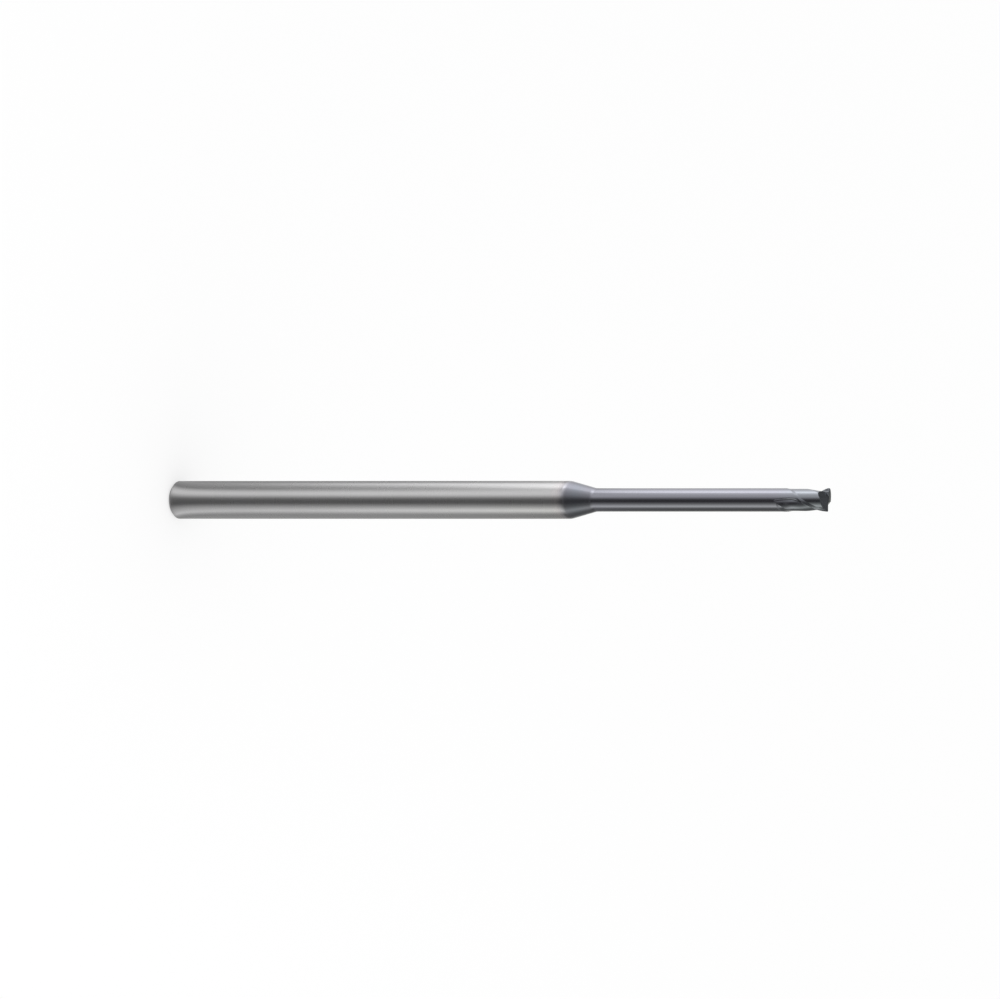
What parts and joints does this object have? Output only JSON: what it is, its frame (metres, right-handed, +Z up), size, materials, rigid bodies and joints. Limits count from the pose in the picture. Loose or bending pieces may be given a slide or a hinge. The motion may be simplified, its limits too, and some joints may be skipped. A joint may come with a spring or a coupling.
{
  "type": "carbide end mill",
  "caption": "Solid carbide end mill with a plain cylindrical shank, a long slim neck and a short fluted head with corner radii, for milling deep ribs and pockets",
  "frame": {"origin": "centre of the flat end of the shank, on which the tool stands", "axes": "+Z runs up the tool's axis from the shank to the tip; +X points along the first end lip, where its cutting edge meets the tip"},
  "size_m": [0.004, 0.004, 0.08],
  "materials": {
    "coated_carbide": "ground carbide, with a dark nitride coating on the neck and head"
  },
  "bodies": {
    "root": {"end_mill": "coated_carbide"}
  },
  "joints": []
}
